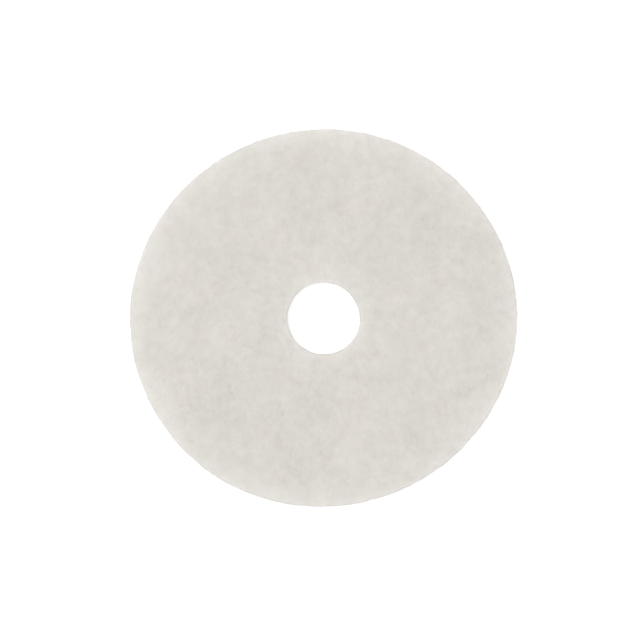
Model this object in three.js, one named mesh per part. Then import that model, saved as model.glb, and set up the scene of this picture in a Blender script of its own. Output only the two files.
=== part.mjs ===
// A white floor polishing pad: a thick disc of nonwoven fibre with a round hole in the middle.
// It is die-cut in one piece from a lofty web, so the whole pad is one solid.
// Millimetres, +Z up. The pad lies flat. The origin is at the centre of the hole, level with the lower
// face, and the long axis of the slightly oval outline is along X.
import * as THREE from "three";

// The outline that the die leaves. The web relaxes after the cut, so it ends a little out of round.
const padDiameter = 432; // mean of the long and the short axis
const padOval = 11; // long axis minus short axis
const padThickness = 25;
const holeDiameter = 82;

// The die squeezes the web while it cuts, so both faces fall a little towards each cut wall.
const cornerRound = 2.5; // radius where a face turns into a cut wall
const rimReach = 22; // width of the fall along the outer edge
const rimFall = 1.2; // depth of the fall at the outer edge
const holeReach = 13; // width of the fall round the hole
const holeFall = 0.8; // depth of the fall at the hole

const outlineSegments = 96;
const fallSteps = 3;
const cornerSteps = 3;

const padRadius = padDiameter / 2;
const holeRadius = holeDiameter / 2;

// One edge of a face, from where it is flat to the cut wall, as each point's inset from the wall and its
// drop from the face. The fall is half a cosine wave, and a quarter circle takes it down to the wall.
function faceEdge(reach, fall) {
  const points = [];
  for (let i = 0; i <= fallSteps; i++) {
    const t = i / fallSteps;
    const inset = THREE.MathUtils.lerp(reach, cornerRound, t);
    const drop = (fall * (1 - Math.cos(Math.PI * t))) / 2;
    points.push({ inset, drop });
  }
  for (let i = 1; i <= cornerSteps; i++) {
    const turn = ((i / cornerSteps) * Math.PI) / 2;
    const inset = cornerRound * (1 - Math.sin(turn));
    const drop = fall + cornerRound * (1 - Math.cos(turn));
    points.push({ inset, drop });
  }
  return points;
}

// The section through one side of the ring, as (radius, height): up the cut wall of the outer edge, in
// along the upper face, down the wall of the hole and out along the lower face to the first point.
function ringSection() {
  const outerEdge = faceEdge(rimReach, rimFall);
  const holeEdge = faceEdge(holeReach, holeFall);
  const section = [
    ...outerEdge.map((p) => new THREE.Vector2(padRadius - p.inset, p.drop)),
    ...outerEdge.toReversed().map((p) => new THREE.Vector2(padRadius - p.inset, padThickness - p.drop)),
    ...holeEdge.map((p) => new THREE.Vector2(holeRadius + p.inset, padThickness - p.drop)),
    ...holeEdge.toReversed().map((p) => new THREE.Vector2(holeRadius + p.inset, p.drop)),
  ];
  return [...section, section[0].clone()];
}

// Moves each point of a round ring along its radius, in full at the outer wall and not at all at the
// hole, so that the outline becomes an ellipse with its long axis along X and the hole stays round.
function makeOval(geometry) {
  const longHalf = padRadius + padOval / 4;
  const shortHalf = padRadius - padOval / 4;
  const position = geometry.getAttribute("position");
  for (let i = 0; i < position.count; i++) {
    const x = position.getX(i);
    const y = position.getY(i);
    const radius = Math.hypot(x, y);
    const outline = (longHalf * shortHalf * radius) / Math.hypot(shortHalf * x, longHalf * y);
    const share = (radius - holeRadius) / (padRadius - holeRadius);
    const stretch = 1 + (share * (outline - padRadius)) / radius;
    position.setXY(i, x * stretch, y * stretch);
  }
  geometry.computeVertexNormals();
}

const padGeometry = new THREE.LatheGeometry(ringSection(), outlineSegments);
padGeometry.rotateX(Math.PI / 2);
makeOval(padGeometry);

const whiteFibre = new THREE.MeshStandardMaterial({ color: 0xdbd8d1, roughness: 0.95, metalness: 0 });

const pad = new THREE.Mesh(padGeometry, whiteFibre);
pad.name = "polishing_pad";

const floorPad = new THREE.Group();
floorPad.add(pad);

export default floorPad;
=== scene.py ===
# A white floor polishing pad lying flat, seen from straight above. Metres, +Z up.
import math
import bpy
import numpy as np
from mathutils import Matrix, Vector


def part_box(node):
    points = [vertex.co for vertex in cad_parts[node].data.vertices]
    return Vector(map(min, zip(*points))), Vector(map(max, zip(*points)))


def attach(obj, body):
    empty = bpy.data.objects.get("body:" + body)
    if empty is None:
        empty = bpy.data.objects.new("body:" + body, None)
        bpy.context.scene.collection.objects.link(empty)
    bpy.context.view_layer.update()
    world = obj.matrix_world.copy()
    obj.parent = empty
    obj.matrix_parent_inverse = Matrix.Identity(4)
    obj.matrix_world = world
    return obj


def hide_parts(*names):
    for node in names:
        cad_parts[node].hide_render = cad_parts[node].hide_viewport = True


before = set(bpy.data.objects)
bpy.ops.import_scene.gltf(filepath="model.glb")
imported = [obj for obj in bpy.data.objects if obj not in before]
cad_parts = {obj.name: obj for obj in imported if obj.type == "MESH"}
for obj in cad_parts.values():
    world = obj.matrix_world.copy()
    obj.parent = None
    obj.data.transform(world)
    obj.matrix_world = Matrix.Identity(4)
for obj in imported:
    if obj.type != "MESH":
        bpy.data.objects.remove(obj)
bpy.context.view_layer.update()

padLow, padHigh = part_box("polishing_pad")
longHalf = (padHigh.x - padLow.x) / 2
shortHalf = (padHigh.y - padLow.y) / 2
meanRadius = (longHalf + shortHalf) / 2
thickness = padHigh.z - padLow.z
print("frame loaded, pad", round(2 * longHalf, 4), "by", round(2 * shortHalf, 4), "m")


# Surface of the die-cut pad

padCut = {
    "holeRadius": 0.0410,
    "holeFlare": 0.0009,  # how much wider the hole is at its lower edge, where the die came out
    "cornerRound": 0.0008,  # radius where a face turns into a cut wall
    "rimReach": 0.022,  # how far in the die pulled the faces down at the outer edge
    "rimFall": 0.0012,
    "holeReach": 0.013,  # the same at the hole
    "holeFall": 0.0008,
    "rimBelly": 0.0004,  # the outer wall springs out a little at half height
    "standHeight": 0.00018,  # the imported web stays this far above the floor, on its loose fibres
    "outlineWaves": [(1, 0.00053, -2.56), (3, 0.00026, 0.8), (4, 0.00022, 2.1), (7, 0.00005, 4.0)],
    "holeWaves": [(2, 0.00022, 1.2), (3, 0.00010, 0.4), (5, 0.00006, 3.0)],
    "around": 560,  # mesh columns round the pad
    "across": 174,  # mesh rows round its section
    "wallShare": 0.30,  # part of the rows that the two cut walls and their corners get
    "cornerMargin": 0.003,  # how far past a wall's height its close rows reach, along the section
    "glow": 0.35,  # how much upright web is shaded as if it faced up, as light comes down through it
}

# Unevenness of the web: width, thickness and height of each layer of noise, first all over, then on the
# cut walls only
webRelief = {
    "everywhere": [(0.030, 0.030, 0.00028), (0.011, 0.011, 0.00022), (0.0052, 0.0052, 0.00022)],
    "onWalls": [(0.011, 0.0026, 0.00036), (0.0045, 0.0030, 0.00026)],
}


def latticeNoise(points, wide, tall, seed):
    # Random values from -1 to 1 on a lattice, blended between the eight nodes round each point with the
    # weight 3t^2 - 2t^3 along each axis. The cells are as wide and as tall as asked, and the pad's middle
    # lies near the lattice's middle.
    size = np.array([160, 160, 24])
    middle = np.array([80.37, 80.81, 6.43])
    lattice = np.random.default_rng(seed).uniform(-1, 1, size)
    place = points / np.array([wide, wide, tall]) + middle
    whole = np.floor(place).astype(int)
    part = place - whole
    part = part * part * (3 - 2 * part)
    value = np.zeros(points.shape[:-1])
    for corner in np.ndindex(2, 2, 2):
        weight = np.prod(np.where(corner, part, 1 - part), axis=-1)
        node = (whole + corner) % size
        value += weight * lattice[node[..., 0], node[..., 1], node[..., 2]]
    return value


def reliefAt(points, wall):
    # The sum of the layers of noise, each times its height, and those of the walls also times how upright
    # the surface is.
    height = np.zeros(points.shape[:-1])
    for seed, (wide, tall, rise) in enumerate(webRelief["everywhere"]):
        height += rise * latticeNoise(points, wide, tall, 40 + seed)
    for seed, (wide, tall, rise) in enumerate(webRelief["onWalls"]):
        height += wall * rise * latticeNoise(points, wide, tall, 60 + seed)
    return height


def faceEdge(reach, fall, steps=40):
    # Half a cosine wave down from the flat face, then a quarter circle to the wall, as inset and drop.
    corner = padCut["cornerRound"]
    t = np.linspace(0, 1, steps)
    inset = reach + (corner - reach) * t
    drop = fall * (1 - np.cos(math.pi * t)) / 2
    turn = t[1:] * math.pi / 2
    inset = np.append(inset, corner * (1 - np.sin(turn)))
    drop = np.append(drop, fall + corner * (1 - np.cos(turn)))
    return inset, drop


def cutSection():
    # The section as radius and height: up the outer wall, in over the upper face, down the hole's wall and
    # out under the lower face. The outer wall bulges by half a sine wave between its corners. The hole's wall
    # moves out by the flare times its depth below the upper face, less and less towards the outer edge.
    wallSteps, flatSteps = 42, 60
    holeRadius = padCut["holeRadius"]
    outerIn, outerDrop = faceEdge(padCut["rimReach"], padCut["rimFall"])
    holeIn, holeDrop = faceEdge(padCut["holeReach"], padCut["holeFall"])
    climb = np.linspace(0, 1, wallSteps)[1:-1]
    belly = padCut["rimBelly"] * np.sin(math.pi * climb)
    outerWall = outerDrop[-1] + (thickness - 2 * outerDrop[-1]) * climb
    holeWall = holeDrop[-1] + (thickness - 2 * holeDrop[-1]) * climb
    flat = np.linspace(meanRadius - padCut["rimReach"], holeRadius + padCut["holeReach"], flatSteps)[1:-1]
    radius = [
        meanRadius - outerIn, meanRadius + belly, (meanRadius - outerIn)[::-1], flat,
        holeRadius + holeIn, np.full(climb.size, holeRadius), (holeRadius + holeIn)[::-1], flat[::-1],
    ]
    height = [
        outerDrop, outerWall, thickness - outerDrop[::-1], np.full(flat.size, thickness),
        thickness - holeDrop, holeWall[::-1], holeDrop[::-1], np.zeros(flat.size),
    ]
    ends = np.cumsum([part.size for part in radius])
    radius, height = np.concatenate(radius), np.concatenate(height)
    nearHole = (meanRadius - radius) / (meanRadius - holeRadius)
    loop = np.stack([radius + padCut["holeFlare"] * (1 - height / thickness) * nearHole, height], 1)
    return np.vstack([loop, loop[:1]]), ends


sectionLoop, sectionEnds = cutSection()
sectionRun = np.append(0, np.cumsum(np.linalg.norm(np.diff(sectionLoop, axis=0), axis=1)))
sectionLength = sectionRun[-1]
outerMid = sectionRun[(sectionEnds[0] + sectionEnds[1]) // 2]  # half height of the outer wall
holeMid = sectionRun[(sectionEnds[4] + sectionEnds[5]) // 2]  # half height of the hole's wall
upperFace = slice(sectionEnds[1], sectionEnds[4])


def sectionPoint(run):
    # Radius and height at a length along the section.
    run = run % sectionLength
    return np.stack([np.interp(run, sectionRun, sectionLoop[:, k]) for k in (0, 1)], -1)


def runOnFace(ringRadius, side):
    # How far along the section a radius lies on the upper face, or mirrored about the outer wall's middle
    # for the lower.
    radius = sectionLoop[upperFace, 0][::-1]
    run = np.interp(ringRadius, radius, sectionRun[upperFace][::-1])
    return run if side > 0 else 2 * outerMid - run


def wavesAt(angle, waves):
    # A sum of cosine waves of the angle, each with its count round the pad, its size and its turn.
    return sum(size * np.cos(count * angle + turn) for count, size, turn in waves)


def outlineAt(angle):
    # An ellipse in polar form plus a few small waves, and the hole's radius with its own waves.
    ellipse = longHalf * shortHalf / np.hypot(shortHalf * np.cos(angle), longHalf * np.sin(angle))
    outer = ellipse + wavesAt(angle, padCut["outlineWaves"])
    hole = padCut["holeRadius"] + wavesAt(angle, padCut["holeWaves"])
    return outer, hole


def padSurface(angle, run, lift):
    # The section's point, moved out with the outline in proportion to its place between hole and edge, then
    # along the section's normal by the relief and the lift. Gives that point and that normal.
    halfStep = 0.0004
    ring = sectionPoint(run)
    along = sectionPoint(run + halfStep) - sectionPoint(run - halfStep)
    along /= np.linalg.norm(along, axis=-1, keepdims=True)
    outer, hole = outlineAt(angle)
    share = (ring[..., 0] - padCut["holeRadius"]) / (meanRadius - padCut["holeRadius"])
    radius = ring[..., 0] + share * (outer - meanRadius)
    radius = radius + (1 - share) * (hole - padCut["holeRadius"])
    cosine, sine = np.cos(angle), np.sin(angle)
    point = np.stack([radius * cosine, radius * sine, ring[..., 1]], -1)
    normal = np.stack([along[..., 1] * cosine, along[..., 1] * sine, -along[..., 0]], -1)
    return point + normal * (reliefAt(point, along[..., 1] ** 2) + lift)[..., None], normal


def litFromAbove(normal):
    # The normal plus the glow times how upright the surface is, straight up.
    upright = 1 - normal[..., 2:] ** 2
    lit = normal + padCut["glow"] * upright * np.array([0, 0, 1])
    return lit / np.linalg.norm(lit, axis=-1, keepdims=True)


def ringRadiusAt(x, y):
    # The radius that a point had before the outline was made oval.
    angle = np.arctan2(y, x)
    outer, hole = outlineAt(angle)
    share = (np.hypot(x, y) - hole) / (outer - hole)
    return padCut["holeRadius"] + share * (meanRadius - padCut["holeRadius"])


def buildMesh(name, points, quads, triangles=None, tint=None, normals=None):
    # Puts whole arrays of corners and faces into a new smooth mesh object.
    if triangles is None:
        triangles = np.zeros((0, 3), int)
    mesh = bpy.data.meshes.new(name)
    mesh.vertices.add(len(points))
    mesh.vertices.foreach_set("co", points.astype(np.float32).ravel())
    mesh.loops.add(quads.size + triangles.size)
    corners = np.concatenate([quads.ravel(), triangles.ravel()])
    mesh.loops.foreach_set("vertex_index", corners.astype(np.int32))
    starts = np.append(np.arange(len(quads)) * 4, quads.size + np.arange(len(triangles)) * 3)
    mesh.polygons.add(len(starts))
    mesh.polygons.foreach_set("loop_start", starts.astype(np.int32))
    mesh.update(calc_edges=True)
    mesh.polygons.foreach_set("use_smooth", np.ones(len(starts), bool))
    if tint is not None:
        tints = mesh.attributes.new("tint", "FLOAT", "POINT")
        tints.data.foreach_set("value", tint.astype(np.float32))
    if normals is not None:
        mesh.normals_split_custom_set_from_vertices(normals.tolist())
    piece = bpy.data.objects.new(name, mesh)
    bpy.context.scene.collection.objects.link(piece)
    print(name, "made,", 2 * len(quads) + len(triangles), "triangles")
    return piece


def makePadBody(name):
    # The pad's surface on a closed grid of angle and run, the rows closer together on walls and corners.
    around, count, share = padCut["around"], padCut["across"], padCut["wallShare"]
    fine = np.linspace(0, sectionLength, 4001)
    half = sectionLength / 2
    nearWall = np.zeros(fine.size, bool)
    for middle in (outerMid, holeMid):
        apart = np.abs((fine - middle + half) % sectionLength - half)
        nearWall |= apart < thickness / 2 + padCut["cornerMargin"]
    wallLength = nearWall.mean() * sectionLength
    weight = np.where(nearWall, share / wallLength, (1 - share) / (sectionLength - wallLength))
    filled = np.append(0, np.cumsum((weight[1:] + weight[:-1]) / 2))
    run = np.interp(np.arange(count) / count * filled[-1], filled, fine)
    angle = np.arange(around) / around * 2 * math.pi
    angle, run = np.meshgrid(angle, run, indexing="ij")
    points, _ = padSurface(angle, run, np.zeros(angle.shape))
    points[..., 2] = np.maximum(points[..., 2], padCut["standHeight"])
    i, j = np.meshgrid(np.arange(around), np.arange(count), indexing="ij")
    nextI, nextJ = (i + 1) % around, (j + 1) % count
    quads = np.stack([i * count + j, nextI * count + j, nextI * count + nextJ, i * count + nextJ], -1)
    body = buildMesh(name, points.reshape(-1, 3), quads.reshape(-1, 4))
    normal = np.zeros(points.size, np.float32)
    body.data.vertex_normals.foreach_get("vector", normal)
    body.data.normals_split_custom_set_from_vertices(litFromAbove(normal.reshape(-1, 3)).tolist())
    return body


# Loose fibres of the web

everyFibre = {
    "webShading": 0.7,  # how much of its shading comes from the web under it, not from its own shape
    "endWidth": 0.35,  # width at the very ends of a long fibre, as a part of its full width
    "tipNarrowing": 0.6,  # part of its width that a cut end has lost at its tip
    "edgeMargin": 0.0002,  # how far from a cut wall a fibre on a face stops
    "fewestSteps": 8,  # a path that the edge cuts shorter than this is left out
    "upperShare": 0.7,  # part of the fuzz that is on the upper face
}

upperFibres = {
    "count": 3300,
    "stations": 10,
    "length": (0.016, 0.030),
    "thick": (0.00006, 0.00012),  # half of a fibre's width
    "curl": (0.55, 0.9),  # swing of the heading, in radians
    "curlLength": (0.012, 0.032),
    "lift": (-0.00006, 0.00006),  # mean height over the surface
    "weave": (0.00006, 0.00018),  # how far it dips and rises
    "weaveLength": (0.007, 0.016),
}

lowerFibres = {**upperFibres, "count": 1800}

# Short tight tangles that the carding leaves, seen as small light flecks
fibreKnots = {
    **upperFibres,
    "count": 130,
    "stations": 15,
    "length": (0.010, 0.016),
    "thick": (0.00010, 0.00016),
    "curl": (2.2, 3.4),
    "curlLength": (0.003, 0.006),
    "lift": (0.00004, 0.00014),
}

wallFibres = {
    "rimCount": 1500,
    "holeCount": 350,
    "stations": 9,
    "length": (0.008, 0.020),
    "thick": (0.00006, 0.00012),
    "curl": (0.15, 0.55),
    "curlLength": (0.008, 0.022),
    "lift": (-0.00006, 0.00010),
    "weave": (0.00006, 0.00022),
    "weaveLength": (0.006, 0.014),
    "slope": 0.22,  # spread of the heading about level
    "band": 0.0145,  # how far from half height a fibre may start
}

# Hairs: fibre ends that stand out of the surface
rimEnds = {
    "count": 6000,
    "band": 0.0140,  # how far from half height they may start
    "stations": 4,
    "length": (0.0006, 0.0027),
    "thick": (0.00005, 0.00010),
    "lean": 0.8,  # spread of the angle away from the surface's normal
    "mostLean": 1.2,
    "bend": 0.9,  # how much more it leans at its tip
    "root": 0.0003,  # how deep it starts in the pad
}
holeEnds = {**rimEnds, "count": 1000, "band": 0.0135, "length": (0.0005, 0.0009)}
faceEnds = {**rimEnds, "count": 2200, "length": (0.0007, 0.0016), "lean": 1.2}


def spread(rng, limits, count):
    # One even random value between the limits for each fibre, as a column.
    return rng.uniform(limits[0], limits[1], (count, 1))


def wanderingHeading(rng, plan, start, run):
    # Two sine waves of the run, the second shorter and half as wide, added to the first heading.
    count = len(start)
    wave = spread(rng, plan["curlLength"], count)
    swing = spread(rng, plan["curl"], count)
    first, second = rng.uniform(0, 2 * math.pi, (2, count, 1))
    turn = 2 * math.pi * run / wave
    return start + swing * (np.sin(turn + first) + 0.5 * np.sin(2.3 * turn + second))


def weavingLift(rng, plan, run):
    # A mean height plus one sine wave of the run.
    count = len(run)
    turn = 2 * math.pi * run / spread(rng, plan["weaveLength"], count)
    turn = turn + spread(rng, (0, 2 * math.pi), count)
    return spread(rng, plan["lift"], count) + spread(rng, plan["weave"], count) * np.sin(turn)


def carryProfile(name, course, half, tint):
    # A three-cornered profile carried along each path: at every station the corners stand at the half width
    # round the path, in the plane across it, with one corner up. Each end is closed by one triangle. A path
    # that would enter the floor lies on it instead. A white fibre lets light through, so it is shaded mostly
    # by the normal of the web under it.
    path, under = course
    path[..., 2] = np.maximum(path[..., 2], half)
    count, stations = path.shape[:2]
    tangent = np.gradient(path, axis=1)
    tangent /= np.linalg.norm(tangent, axis=-1, keepdims=True)
    nearlyUp = np.array([0.13, -0.21, 0.97])
    side = np.cross(nearlyUp, tangent)
    side /= np.linalg.norm(side, axis=-1, keepdims=True)
    over = np.cross(tangent, side)
    turn = np.arange(3) * 2 * math.pi / 3 + math.pi / 2
    ring = np.cos(turn)[:, None] * side[:, :, None, :] + np.sin(turn)[:, None] * over[:, :, None, :]
    points = path[:, :, None, :] + half[:, :, None, None] * ring
    share = everyFibre["webShading"]
    shading = share * litFromAbove(under)[:, :, None, :] + (1 - share) * ring
    shading /= np.linalg.norm(shading, axis=-1, keepdims=True)
    first = np.arange(count)[:, None, None] * stations * 3
    station = np.arange(stations - 1)[None, :, None] * 3
    corner = np.arange(3)[None, None, :]
    following = (corner + 1) % 3
    here, there = first + station, first + station + 3
    quads = np.stack([here + corner, here + following, there + following, there + corner], -1)
    start = np.arange(count)[:, None] * stations * 3
    finish = start + 3 * (stations - 1)
    caps = np.concatenate([start + np.array([0, 2, 1]), finish + np.array([0, 1, 2])])
    tints = np.repeat(tint, stations * 3)
    return buildMesh(name, points.reshape(-1, 3), quads.reshape(-1, 4), caps, tints, shading.reshape(-1, 3))


def taperedHalf(rng, plan, count):
    # Half the width along each fibre: full in the middle, narrow at the very ends.
    profile = np.ones(plan["stations"])
    profile[[0, -1]] = everyFibre["endWidth"]
    return spread(rng, plan["thick"], count) * profile


def makeFaceFibres(name, plan, side, seed):
    # Paths that wander over the face: the running sum of the heading's cosine and sine on fine steps, cut
    # where it leaves the face and read again at equal steps.
    rng = np.random.default_rng(seed)
    count, fine = plan["count"], 49
    radius = np.sqrt(rng.uniform(padCut["holeRadius"] ** 2, meanRadius ** 2, (count, 1)))
    bearing = spread(rng, (0, 2 * math.pi), count)
    length = spread(rng, plan["length"], count)
    run = np.linspace(-0.5, 0.5, fine) * length
    heading = wanderingHeading(rng, plan, spread(rng, (0, 2 * math.pi), count), run)
    step = length / (fine - 1)
    x = np.cumsum(np.cos(heading) * step, axis=1)
    y = np.cumsum(np.sin(heading) * step, axis=1)
    middle = fine // 2
    x += radius * np.cos(bearing) - x[:, middle:middle + 1]
    y += radius * np.sin(bearing) - y[:, middle:middle + 1]
    ring = ringRadiusAt(x, y)
    margin = everyFibre["edgeMargin"]
    inside = (ring > padCut["holeRadius"] + margin) & (ring < meanRadius - margin)
    inside[:, middle] = True
    last = middle + np.minimum.accumulate(inside[:, middle:], axis=1).sum(1) - 1
    first = middle - np.minimum.accumulate(inside[:, middle::-1], axis=1).sum(1) + 1
    place = first[:, None] + (last - first)[:, None] * np.linspace(0, 1, plan["stations"])
    low = np.minimum(place.astype(int), fine - 2)
    part = place - low
    x = np.take_along_axis(x, low, 1) * (1 - part) + np.take_along_axis(x, low + 1, 1) * part
    y = np.take_along_axis(y, low, 1) * (1 - part) + np.take_along_axis(y, low + 1, 1) * part
    lift = weavingLift(rng, plan, place * step)
    keep = (last - first) > everyFibre["fewestSteps"]
    x, y, lift = x[keep], y[keep], lift[keep]
    course = padSurface(np.arctan2(y, x), runOnFace(ringRadiusAt(x, y), side), lift)
    half = taperedHalf(rng, plan, count)[keep]
    tint = rng.uniform(0, 1, count)[keep]
    return carryProfile(name, course, half, tint)


def makeWallFibres(name, plan, middle, count, seed):
    # Nearly level paths on a cut wall: the heading's cosine runs round the pad, its sine along the section.
    rng = np.random.default_rng(seed)
    radius = sectionPoint(middle)[0]
    length = spread(rng, plan["length"], count)
    run = np.linspace(-0.5, 0.5, plan["stations"]) * length
    heading = wanderingHeading(rng, plan, rng.normal(0, plan["slope"], (count, 1)), run)
    step = length / (plan["stations"] - 1)
    angle = spread(rng, (0, 2 * math.pi), count) + np.cumsum(np.cos(heading) * step, axis=1) / radius
    along = middle + spread(rng, (-plan["band"], plan["band"]), count)
    along = along + np.cumsum(np.sin(heading) * step, axis=1)
    course = padSurface(angle, along, weavingLift(rng, plan, run))
    return carryProfile(name, course, taperedHalf(rng, plan, count), rng.uniform(0, 1, count))


def makeHairs(name, plan, along, seed):
    # Each hair leaves the surface at an angle to its normal that grows on the way, towards a random side.
    rng = np.random.default_rng(seed)
    count = len(along)
    t = np.linspace(0, 1, plan["stations"])
    length = spread(rng, plan["length"], count)
    step = length / (plan["stations"] - 1)
    lean = np.abs(rng.normal(0, plan["lean"], (count, 1))).clip(0, plan["mostLean"])
    lean = lean + plan["bend"] * t * spread(rng, (0, 1), count)
    aside = spread(rng, (0, 2 * math.pi), count)
    out = -plan["root"] + (np.cumsum(np.cos(lean), axis=1) - np.cos(lean)) * step
    off = (np.cumsum(np.sin(lean), axis=1) - np.sin(lean)) * step
    angle = spread(rng, (0, 2 * math.pi), count) + off * np.cos(aside) / sectionPoint(along)[..., 0]
    course = padSurface(angle, along + off * np.sin(aside), out)
    half = spread(rng, plan["thick"], count) * (1 - everyFibre["tipNarrowing"] * t)
    return carryProfile(name, course, half, rng.uniform(0, 1, count))


def placesOnWall(plan, middle, seed):
    # Lengths along the section, evenly over a band about a wall's half height.
    rng = np.random.default_rng(seed)
    return middle + spread(rng, (-plan["band"], plan["band"]), plan["count"])


def placesOnFaces(plan, seed):
    # Lengths along the section for points spread evenly over both faces: the root of an even square of
    # radius.
    rng = np.random.default_rng(seed)
    radius = np.sqrt(spread(rng, (padCut["holeRadius"] ** 2, meanRadius ** 2), plan["count"]))
    upper = runOnFace(radius, 1)
    isUpper = spread(rng, (0, 1), plan["count"]) < everyFibre["upperShare"]
    return np.where(isUpper, upper, 2 * outerMid - upper)


padBody = makePadBody("pad_body")
looseFibres = [
    makeFaceFibres("upper_fibres", upperFibres, 1, 11),
    makeFaceFibres("upper_loops", upperFibres, 1, 12),
    makeFaceFibres("lower_fibres", lowerFibres, -1, 13),
    makeFaceFibres("upper_knots", fibreKnots, 1, 14),
    makeFaceFibres("lower_knots", fibreKnots, -1, 15),
    makeWallFibres("rim_fibres", wallFibres, outerMid, wallFibres["rimCount"], 31),
    makeWallFibres("hole_fibres", wallFibres, holeMid, wallFibres["holeCount"], 32),
    makeHairs("rim_cut_ends", rimEnds, placesOnWall(rimEnds, outerMid, 41), 51),
    makeHairs("hole_cut_ends", holeEnds, placesOnWall(holeEnds, holeMid, 42), 52),
    makeHairs("face_fuzz", faceEnds, placesOnFaces(faceEnds, 43), 53),
]


# Finish

fibreLook = {
    "shade": (0.559, 0.536, 0.482, 1),  # darkest tone of the web
    "light": (0.950, 0.930, 0.892, 1),  # lightest tone, which the painted light at the cut edges reaches
    "binder": (1.0, 0.978, 0.962, 1),  # what binder takes out of the light where there is much of it
    "binderSize": 26,  # per metre
    "binderGain": 1.1,
    "rimPaintedLight": 0.29,  # painted light: how much lighter the web is drawn at the outer edge, for light coming in through the cut wall
    "rimLightFade": 0.0135,  # how far in that painted light fades
    # the same painted light at the hole
    "holePaintedLight": 0.20,
    "holeLightFade": 0.0110,
    "blotchSize": 95,  # per metre
    "layering": (1, 1, 4.5),  # how much flatter than wide the blotches are, so the walls look layered
    "blotchGain": 0.295,
    "cloudSize": 22,
    "cloudGain": 0.28,
    "bends": [(55, 0.008), (210, 0.0018)],  # noise that curls the drawn fibres: per metre, and how far
    "lines": [(0.2, 0.006, 0.0005), (0.8, 0.007, 0.0006), (1.3, 0.006, 0.0005),  # drawn fibres: heading,
              (1.9, 0.008, 0.0007), (2.4, 0.007, 0.0006), (2.9, 0.006, 0.0005)],  # length and width
    "lineSharpness": 11,
    "pitPaintedShade": 0.13,  # painted shade: how much darker the gaps between the fibres are drawn
    "wallFade": 0.0012,  # how far in from a cut wall the painted light at the edge and the wall's layers show
    "edgePaintedLight": 0.12,  # painted light: how much lighter the web is drawn right at a cut wall, where its corner turns from the light
    "wallSize": 55,
    "wallLayers": (1, 1, 9),
    "wallGain": 0.75,
    "tintPaintedLight": 0.12,  # painted light: how much lighter a loose fibre is drawn than the web under it, against the shade on its sides
    "tintGain": 0.22,  # spread of the loose fibres
    "roughness": 0.98,
    "roughnessFall": 0.12,  # how much smoother the light blotches are
    "gloss": 0.2,
    "sheen": 0.15,
    "bumpDepth": 0.00014,
}


class Wire:
    # One value in a node tree. Plus, minus, times and power on it add Math nodes.
    def __init__(self, bench, socket):
        self.bench = bench
        self.socket = socket

    def apply(self, operation, *others):
        return self.bench.add("ShaderNodeMath", {"operation": operation}, dict(enumerate((self, *others))))

    def beside(self, output):
        # Another output of the same node.
        return Wire(self.bench, self.socket.node.outputs[output])

    def __add__(self, other):
        return self.apply("ADD", other)

    def __sub__(self, other):
        return self.apply("SUBTRACT", other)

    def __rsub__(self, other):
        return (self * -1).apply("ADD", other)

    def __mul__(self, other):
        return self.apply("MULTIPLY", other)

    def __pow__(self, other):
        return self.apply("POWER", other)

    __radd__ = __add__
    __rmul__ = __mul__


class Bench:
    # The node tree of a material or of the world, built one node at a time.
    def __init__(self, owner):
        owner.use_nodes = True
        self.tree = owner.node_tree
        self.tree.nodes.clear()

    def add(self, kind, settings=None, values=None, output=0):
        node = self.tree.nodes.new(kind)
        for key, setting in (settings or {}).items():
            setattr(node, key, setting)
        for key, value in (values or {}).items():
            if isinstance(value, Wire):
                self.tree.links.new(value.socket, node.inputs[key])
            else:
                node.inputs[key].default_value = value
        return Wire(self, node.outputs[output]) if node.outputs else None


def noiseAt(bench, place, size, detail, output="Fac"):
    # Soft noise about one half, with so many blotches per metre.
    return bench.add("ShaderNodeTexNoise", {}, {"Vector": place, "Scale": size, "Detail": detail}, output)


def blendColours(bench, kind, share, first, second):
    # The first colour, turned by the share into the second or into both multiplied.
    settings = {"data_type": "RGBA", "blend_type": kind}
    return bench.add("ShaderNodeMix", settings, {0: share, 6: first, 7: second}, 2)


def fadeFrom(distance, reach):
    # 1 at the edge, and less by the exponential of minus the distance over the reach.
    return (distance * (-1 / reach)).apply("EXPONENT").apply("MINIMUM", 1)


def fibreLine(bench, place, turn, reach, width):
    # A thin line where stretched noise passes its middle value: long along one heading, narrow across it.
    turned = bench.add("ShaderNodeMapping", {"vector_type": "TEXTURE"},
                       {"Vector": place, "Rotation": (0, 0, turn), "Scale": (reach, width, width)})
    noise = noiseAt(bench, turned, 1, 1)
    return (1 - (noise - 0.5).apply("ABSOLUTE") * fibreLook["lineSharpness"]).apply("MAXIMUM", 0)


def webPattern(bench, place):
    # The highest of the fibre lines in six headings, after two sizes of noise have bent the coordinates.
    bent = place
    half = (0.5, 0.5, 0.5)
    for size, push in fibreLook["bends"]:
        noise = noiseAt(bench, place, size, 1, "Color")
        centred = bench.add("ShaderNodeVectorMath", {"operation": "SUBTRACT"}, {0: noise, 1: half})
        bent = bench.add("ShaderNodeVectorMath", {"operation": "MULTIPLY_ADD"},
                         {0: centred, 1: (push, push, push), 2: bent})
    height = None
    for turn, reach, width in fibreLook["lines"]:
        line = fibreLine(bench, bent, turn, reach, width)
        height = line.apply("MAXIMUM", height) if height else line
    return height


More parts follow.
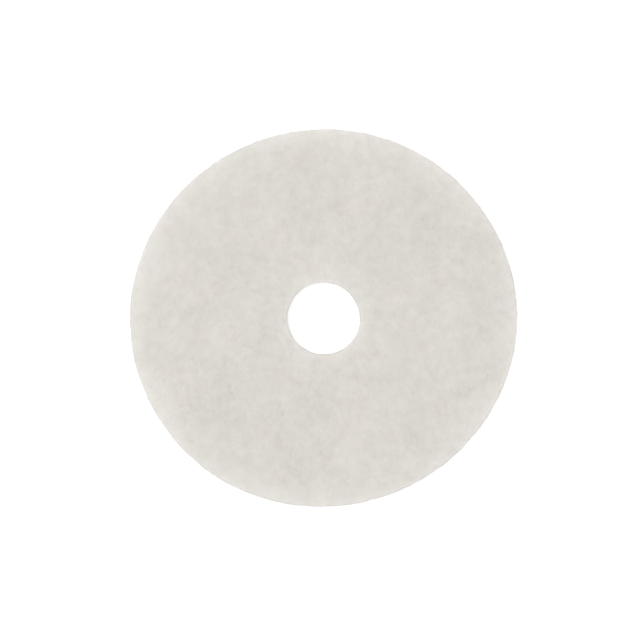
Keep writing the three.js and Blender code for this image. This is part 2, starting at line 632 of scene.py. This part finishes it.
def makeFibreMaterial(name, loose):
    # Tone from 0 to 1 between two colours: painted light near both cut edges, clouds, blotches, and painted
    # shade in the gaps between the fibres, or painted light on the loose fibres. On a cut wall the blotches
    # lie in flat layers.
    look = fibreLook
    material = bpy.data.materials.new(name)
    bench = Bench(material)
    place = bench.add("ShaderNodeTexCoord", {}, {}, "Object")
    x = bench.add("ShaderNodeSeparateXYZ", {}, {0: place}, "X")
    y = x.beside("Y")
    oval = (x * x * longHalf ** -2 + y * y * shortHalf ** -2) ** 0.5
    fromRim = (1 - oval) * meanRadius
    fromHole = (x * x + y * y) ** 0.5 - padCut["holeRadius"]
    # painted light: 1 at the outer edge and at the hole, fading inwards, for light coming in through the cut
    # walls
    rim = fadeFrom(fromRim, look["rimLightFade"])
    hole = fadeFrom(fromHole, look["holeLightFade"])
    layered = bench.add("ShaderNodeVectorMath", {"operation": "MULTIPLY"}, {0: place, 1: look["layering"]})
    blotch = noiseAt(bench, layered, look["blotchSize"], 3)
    cloud = noiseAt(bench, place, look["cloudSize"], 2)
    tone = rim * look["rimPaintedLight"] + hole * look["holePaintedLight"] + 0.5
    tone = tone + (blotch - 0.5) * look["blotchGain"] + (cloud - 0.5) * look["cloudGain"]
    flat = bench.add("ShaderNodeVectorMath", {"operation": "MULTIPLY"}, {0: place, 1: look["wallLayers"]})
    layer = noiseAt(bench, flat, look["wallSize"], 2)
    # painted light right at a cut wall, where its corner is turned from the light, plus the wall's flat
    # layers
    nearWall = fadeFrom(fromRim.apply("MINIMUM", fromHole), look["wallFade"])
    tone = tone + ((layer - 0.5) * look["wallGain"] + look["edgePaintedLight"]) * nearWall
    values = {
        "Roughness": blotch * -look["roughnessFall"] + look["roughness"],
        "Sheen Weight": look["sheen"],
        "Specular IOR Level": look["gloss"],
    }
    if loose:
        tint = bench.add("ShaderNodeAttribute", {"attribute_name": "tint"}, {}, "Fac")
        # painted light: loose fibres drawn lighter than the web under them, against the shade on their sides
        tone = tone + look["tintPaintedLight"] + (tint - 0.5) * look["tintGain"]
    else:
        height = webPattern(bench, place)
        # painted shade: the gaps between the fibre lines drawn darker; the same lines make the bump
        tone = tone + (height - 0.5) * look["pitPaintedShade"]
        values["Normal"] = bench.add("ShaderNodeBump", {}, {"Distance": look["bumpDepth"], "Height": height})
    fibre = blendColours(bench, "MIX", tone, look["shade"], look["light"])
    binder = (noiseAt(bench, place, look["binderSize"], 1) - 0.5) * look["binderGain"] + 0.5
    values["Base Color"] = blendColours(bench, "MULTIPLY", binder, fibre, look["binder"])
    shader = bench.add("ShaderNodeBsdfPrincipled", {}, values)
    bench.add("ShaderNodeOutputMaterial", {}, {"Surface": shader})
    return material


packedFibre = makeFibreMaterial("packed_white_fibre", False)
looseFibre = makeFibreMaterial("loose_white_fibre", True)
padBody.data.materials.append(packedFibre)
for piece in looseFibres:
    piece.data.materials.append(looseFibre)
for piece in [padBody, *looseFibres]:
    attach(piece, "root")
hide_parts("polishing_pad")
print("fibre finishes made")


# Floor, light and camera

studio = {
    "floorHalf": 4.0,
    "floorHeight": -0.0002,
    "floorColour": (0.90, 0.90, 0.90, 1),
    "floorGlow": 0.44,  # seen by the camera only, so that the floor reads white
    "skyStrength": 0.715,
    "lampPower": 59.0,
    "lampSize": 2.6,
    "lampHeight": 4.2,
    "lampOffset": (-1.1, 0.6),  # to the left and up in the picture
    "lens": 100,
    "sensor": 36,
    "distance": 2.0090,  # from the pad's upper face
    "turn": 10,  # degrees that the long axis is turned in the picture
    "tilt": 0.4,  # degrees that the camera leans towards the top of the picture
    "aim": (-0.00418, -0.00178),  # from the pad's centre to the middle of the picture
}


def seenDirectly(bench):
    # 1 for what the camera, a mirror or glass sees, 0 for what lights the pad.
    path = bench.add("ShaderNodeLightPath", output="Is Camera Ray")
    mirrored = path.apply("MAXIMUM", path.beside("Is Glossy Ray"))
    return mirrored.apply("MAXIMUM", path.beside("Is Transmission Ray"))


def makeFloor():
    # A flat sheet just under the pad. Light Path lets the camera, mirrors and glass see it white.
    signs = np.array([[-1, -1], [1, -1], [1, 1], [-1, 1]])
    corners = np.column_stack([signs * studio["floorHalf"], np.full(4, studio["floorHeight"])])
    floor = buildMesh("studio_floor", corners, np.array([[0, 1, 2, 3]]))
    material = bpy.data.materials.new("white_floor")
    bench = Bench(material)
    seen = seenDirectly(bench)
    matt = bench.add("ShaderNodeBsdfDiffuse", {}, {"Color": studio["floorColour"]})
    glow = bench.add("ShaderNodeEmission", {}, {"Strength": seen * studio["floorGlow"]})
    both = bench.add("ShaderNodeAddShader", {}, {0: matt, 1: glow})
    bench.add("ShaderNodeOutputMaterial", {}, {"Surface": both})
    floor.data.materials.append(material)


def makeLight(right, up):
    # A white sky that lights at its own strength and is seen at 1, and a broad lamp that faces the pad.
    world = bpy.data.worlds.new("studio_sky")
    bpy.context.scene.world = world
    bench = Bench(world)
    strength = seenDirectly(bench) * (1 - studio["skyStrength"]) + studio["skyStrength"]
    sky = bench.add("ShaderNodeBackground", {}, {"Color": (1, 1, 1, 1), "Strength": strength})
    bench.add("ShaderNodeOutputWorld", {}, {"Surface": sky})
    lamp = bpy.data.lights.new("soft_lamp", "AREA")
    lamp.energy = studio["lampPower"]
    lamp.size = studio["lampSize"]
    aside, ahead = studio["lampOffset"]
    place = right * aside + up * ahead + Vector((0, 0, studio["lampHeight"]))
    holder = bpy.data.objects.new("soft_lamp", lamp)
    holder.location = place
    holder.rotation_euler = place.to_track_quat("Z", "Y").to_euler()
    holder.visible_camera = False
    bpy.context.scene.collection.objects.link(holder)


def makeCamera(right, up):
    # Straight above the aim, with its right and up turned in the pad's plane and leant back by the tilt.
    tilt = math.radians(studio["tilt"])
    back = Vector((0, 0, math.cos(tilt))) + up * math.sin(tilt)
    aside, ahead = studio["aim"]
    aim = right * aside + up * ahead + Vector((0, 0, thickness))
    camera = bpy.data.objects.new("camera", bpy.data.cameras.new("camera"))
    camera.data.lens = studio["lens"]
    camera.data.sensor_width = studio["sensor"]
    facing = Matrix((right, back.cross(right), back)).transposed().to_4x4()
    camera.matrix_world = Matrix.Translation(aim + back * studio["distance"]) @ facing
    bpy.context.scene.collection.objects.link(camera)
    bpy.context.scene.camera = camera


turn = math.radians(studio["turn"])
pictureRight = Vector((math.cos(turn), -math.sin(turn), 0))
pictureUp = Vector((math.sin(turn), math.cos(turn), 0))
makeFloor()
makeLight(pictureRight, pictureUp)
makeCamera(pictureRight, pictureUp)
bpy.context.scene.view_settings.view_transform = "Standard"
print("floor, light and camera set")
